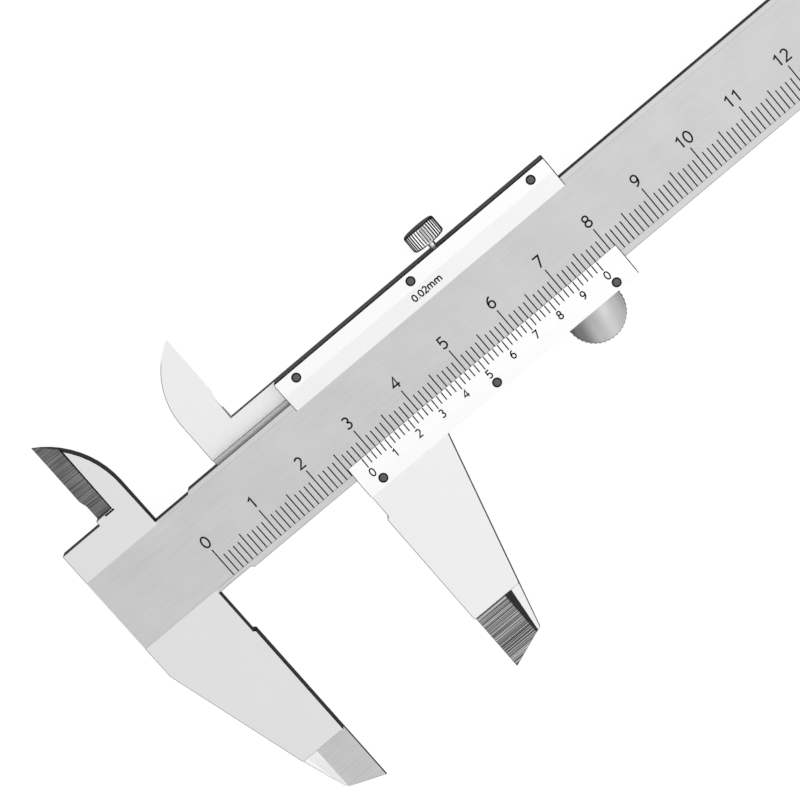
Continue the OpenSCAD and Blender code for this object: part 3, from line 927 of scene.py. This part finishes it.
class CALIPER_OT_lock_screw(bpy.types.Operator):
    """Lock screw: straight knurl on its head and a thread on its shank."""

    bl_idname = "caliper.lock_screw"
    bl_label = "Lock screw"

    def execute(self, context):
        k = context.scene.caliper_knurls
        low, high = box_mm("lock_screw")
        head_r = (high[0] - low[0]) / 2
        tip, top = low[1], high[1]
        head = top - 3.15
        shank_r, neck_r, tip_r, chamfer = 0.95, 0.62, 0.7, 0.42
        thread_rows = np.arange(tip + 1, head - 1.4, k.thread_pitch / 8)
        profile = [(tip, 0), (tip, tip_r - 0.1), (tip + 0.1, tip_r), (tip + 0.85, tip_r)]
        profile += [(h, shank_r) for h in thread_rows]
        profile += [(head - 1.2, shank_r), (head - 1.0, neck_r), (head - 0.1, neck_r),
                    (head, neck_r + 0.1), (head, head_r - chamfer - 0.5),
                    (head, head_r - chamfer)]
        rows_below = len(profile)
        for share in (0.35, 0.75, 1.0):
            turn = share * math.pi / 2
            profile.append((head + chamfer * (1 - math.cos(turn)),
                            head_r - chamfer * (1 - math.sin(turn))))
        profile += [(head + 1.1, head_r), (top - 1.1, head_r)]
        for share in (0.0, 0.35, 0.7, 1.0):
            turn = share * math.pi / 2
            profile.append((top - chamfer * (1 - math.sin(turn)),
                            head_r - chamfer * (1 - math.cos(turn))))
        rows_head = len(profile)
        profile += [(top, head_r - chamfer - 0.25), (top - 0.06, head_r - chamfer - 0.32),
                    (top - 0.06, 0.5), (top - 0.06, 0)]

        def cut(angle, height):
            """Knurl: a blunt triangle wave round the head that fades out at its two ends.
            Thread: a triangle wave that moves up by one pitch in each turn."""
            wave = abs((angle * k.screw_teeth / math.tau) % 1 * 2 - 1)
            ridge = np.clip(1.5 * wave - 0.25, 0, 1)
            inside = np.clip((height - head - 0.12) / 0.3, 0, 1)
            inside *= np.clip((top - 0.12 - height) / 0.3, 0, 1)
            turn = abs(((height / k.thread_pitch - angle / math.tau) % 1) * 2 - 1)
            threaded = (height > tip + 0.95) & (height < head - 1.3)
            return k.screw_tooth * ridge * inside + 0.2 * turn * threaded

        columns = k.screw_teeth * 6
        points, faces = turned(profile, columns, cut)
        middle = (low + high) / 2
        place = np.stack([points[:, 0] + middle[0], points[:, 2], middle[2] - points[:, 1]], -1)
        bands = [2] * (rows_below - 1) + [0] * (rows_head - rows_below)
        bands += [1] * (len(profile) - rows_head)
        piece = mesh_piece("lock_screw_knurled", place, faces,
                           [knurled_chrome(), milled_side(), bright_chrome()], "lock_body",
                           row_materials(bands, columns))
        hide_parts("lock_screw")
        return {"FINISHED"}


class CALIPER_OT_thumb_roller(bpy.types.Operator):
    """Thumb roller: a turned disc with a scalloped rim and a blind bore for its bush."""

    bl_idname = "caliper.thumb_roller"
    bl_label = "Thumb roller"

    def execute(self, context):
        k = context.scene.caliper_knurls
        low, high = box_mm("thumb_roller")
        outer = (high[0] - low[0]) / 2
        back, front = low[2], high[2]
        bore_r = (box_mm("roller_bush")[1][0] - box_mm("roller_bush")[0][0]) / 2 + 0.02
        bore_end = front - 0.55
        edge = 0.24
        profile = [(bore_end, 0), (bore_end, bore_r - 0.05), (bore_end, bore_r),
                   (bore_end - 0.1, bore_r), (back + 0.1, bore_r), (back, bore_r + 0.1),
                   (back, outer - 0.9), (back, outer - edge),
                   (back + 0.4 * edge, outer - 0.3 * edge), (back + edge, outer),
                   (front - edge, outer), (front - 0.4 * edge, outer - 0.3 * edge),
                   (front, outer - edge), (front, outer - 0.5), (front - 0.02, outer - 0.56),
                   (front - 0.02, 1.4), (front, 1.3), (front, 0.4), (front, 0)]
        on_rim = np.array([r > outer - 2 * edge for _, r in profile])[:, None]

        def cut(angle, height):
            """Scallops: a rounded wave round the rim only."""
            wave = 0.5 - 0.5 * np.cos(angle * k.roller_teeth)
            rim = on_rim & (height > back + 0.01) & (height < front - 0.01)
            return k.roller_tooth * wave ** 0.7 * rim

        columns = k.roller_teeth * 8
        points, faces = turned(profile, columns, cut)
        middle = (low + high) / 2
        bands = np.zeros(len(profile) - 1, int)
        bands[7:12] = 1
        piece = mesh_piece("thumb_roller_knurled", points + [middle[0], middle[1], 0], faces,
                           [turned_chrome(), milled_side()], "roller_body",
                           row_materials(bands, columns))
        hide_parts("thumb_roller")
        return {"FINISHED"}


class CALIPER_OT_back_parts(bpy.types.Operator):
    """Spring arm, depth rod, clamp and their fasteners on the back."""

    bl_idname = "caliper.back_parts"
    bl_label = "Back parts"

    def execute(self, context):
        edge = context.scene.caliper_knurls.edge_width
        softened("depth_rod", "depth_rod_steel", [spring_steel, soft_edge], edge_rules, edge,
                 "slider_body")
        softened("depth_rod_clamp", "depth_rod_clamp_steel", [jaw_satin, milled_side, soft_edge],
                 block_rules, edge, "slider_body")
        softened("roller_arm", "roller_arm_spring", [spring_steel, soft_edge], edge_rules, edge,
                 "slider_body")
        softened("roller_arm_screws", "roller_arm_screw_heads", [dark_steel, soft_edge],
                 edge_rules, SCREW_EDGE, "slider_body")
        finishes = {"depth_rod_rivets": dark_steel, "gib_strip": bronze, "gib_pins": dark_steel,
                    "roller_bush": bronze, "roller_washer": spring_steel,
                    "roller_axle": dark_steel}
        for node, finish in finishes.items():
            slots = NODES[node].data.materials
            slots.clear()
            slots.append(finish())
        return {"FINISHED"}


class CALIPER_OT_stage(bpy.types.Operator):
    """Camera, pale floor and soft light."""

    bl_idname = "caliper.stage"
    bl_label = "Stage"

    def execute(self, context):
        s = context.scene.caliper_stage
        scene = context.scene
        scene.view_settings.view_transform = "Standard"
        camera = bpy.data.objects.new("camera", bpy.data.cameras.new("camera"))
        scene.collection.objects.link(camera)
        camera.location = [v * MM for v in s.camera_place]
        camera.rotation_euler = Euler([math.radians(v) for v in s.camera_turn])
        camera.data.sensor_width = 36
        camera.data.lens = s.lens
        camera.data.shift_x, camera.data.shift_y = s.shift
        camera.data.clip_start, camera.data.clip_end = 0.01, 50
        scene.camera = camera
        self.floor(s)
        self.sky(s)
        return {"FINISHED"}

    def floor(self, s):
        """A wide plain floor under the slider's back, pale, lit from within, clear from below."""
        reach = 8000.0
        corner = np.array([[-1, -1, 0], [1, -1, 0], [1, 1, 0], [-1, 1, 0]]) * reach * MM
        mesh = bpy.data.meshes.new("floor")
        mesh.from_pydata((corner + [0, 0, (FLOOR_Z - 0.01) * MM]).tolist(), [], [[0, 1, 2, 3]])
        material, tree, shader = new_material("floor_paper")
        shader.inputs["Base Color"].default_value = (*(0.12 * c for c in s.floor_color), 1)
        shader.inputs["Roughness"].default_value = 0.9
        shader.inputs["Specular IOR Level"].default_value = 0.0
        shader.inputs["Emission Color"].default_value = (*s.floor_color, 1)
        straight = tree.nodes.new("ShaderNodeLightPath").outputs["Is Camera Ray"]
        seen = math_node(tree, "MULTIPLY", straight, 1.0 - s.floor_mirrored)
        tree.links.new(math_node(tree, "ADD", seen, s.floor_mirrored),
                       shader.inputs["Emission Strength"])
        mix = tree.nodes.new("ShaderNodeMixShader")
        tree.links.new(tree.nodes.new("ShaderNodeNewGeometry").outputs["Backfacing"],
                       mix.inputs["Fac"])
        tree.links.new(shader.outputs["BSDF"], mix.inputs[1])
        tree.links.new(tree.nodes.new("ShaderNodeBsdfTransparent").outputs["BSDF"], mix.inputs[2])
        tree.links.new(mix.outputs["Shader"], tree.nodes["Material Output"].inputs["Surface"])
        mesh.materials.append(material)
        floor = bpy.data.objects.new("floor", mesh)
        bpy.context.scene.collection.objects.link(floor)

    def sky(self, s):
        """White light from above, dimmer low down, with a dark card on the +X and +Y sides."""
        world = bpy.data.worlds.new("studio")
        bpy.context.scene.world = world
        world.use_nodes = True
        tree = world.node_tree
        background = tree.nodes["Background"]
        way = tree.nodes.new("ShaderNodeTexCoord").outputs["Generated"]

        def toward(direction, first, last, low, high):
            """A share that goes from low to high as the way turns toward a direction."""
            dot = tree.nodes.new("ShaderNodeVectorMath")
            dot.operation = "DOT_PRODUCT"
            dot.inputs[1].default_value = direction
            tree.links.new(way, dot.inputs[0])
            share = tree.nodes.new("ShaderNodeMapRange")
            share.interpolation_type = "SMOOTHSTEP"
            for socket, value in zip(("From Min", "From Max", "To Min", "To Max"),
                                     (first, last, low, high)):
                share.inputs[socket].default_value = value
            tree.links.new(dot.outputs["Value"], share.inputs["Value"])
            return share.outputs["Result"]

        light = math_node(tree, "MAXIMUM", toward((0, 0, 1), 0.1, 0.75, s.low_light, 1.0),
                          toward((0, -1, 0), 0.3, 0.8, 0.0, 0.9))
        light = math_node(tree, "MULTIPLY", light,
                          toward((0.6, 0.8, 0), 0.4, 0.75, 1.0, 0.03))
        light = math_node(tree, "MULTIPLY", light, toward((1, 0, 0), -0.6, 0.6, 0.75, 1.2))
        straight = tree.nodes.new("ShaderNodeLightPath").outputs["Is Camera Ray"]
        light = math_node(tree, "MAXIMUM", light, straight)
        tree.links.new(math_node(tree, "MULTIPLY", light, s.sky), background.inputs["Strength"])
        background.inputs["Color"].default_value = (1, 1, 1, 1)


# ---------- panel and registration ----------
STEPS = (CALIPER_OT_stage, CALIPER_OT_beam, CALIPER_OT_slider, CALIPER_OT_rivets,
         CALIPER_OT_main_scale, CALIPER_OT_vernier_scale, CALIPER_OT_lock_screw,
         CALIPER_OT_thumb_roller, CALIPER_OT_back_parts)


class CALIPER_PT_panel(bpy.types.Panel):
    """Lists the pieces and their settings."""

    bl_idname = "CALIPER_PT_panel"
    bl_label = "Vernier caliper"
    bl_space_type = "VIEW_3D"
    bl_region_type = "UI"
    bl_category = "Caliper"

    def draw(self, context):
        for settings in ("caliper_scale", "caliper_knurls", "caliper_stage"):
            group = getattr(context.scene, settings)
            for prop in group.bl_rna.properties:
                if prop.identifier not in ("name", "rna_type"):
                    self.layout.prop(group, prop.identifier)
        for step in STEPS:
            self.layout.operator(step.bl_idname)


GROUPS = {"caliper_scale": ScaleSettings, "caliper_knurls": KnurlSettings,
          "caliper_stage": StageSettings}
CLASSES = (*GROUPS.values(), *STEPS, CALIPER_PT_panel)


def register():
    for item in CLASSES:
        bpy.utils.register_class(item)
    for name, group in GROUPS.items():
        setattr(bpy.types.Scene, name, PointerProperty(type=group))


def unregister():
    for name in GROUPS:
        delattr(bpy.types.Scene, name)
    for item in reversed(CLASSES):
        bpy.utils.unregister_class(item)


def main():
    register()
    for step in STEPS:
        group, name = step.bl_idname.split(".")
        getattr(getattr(bpy.ops, group), name)()


if __name__ == "__main__":
    main()
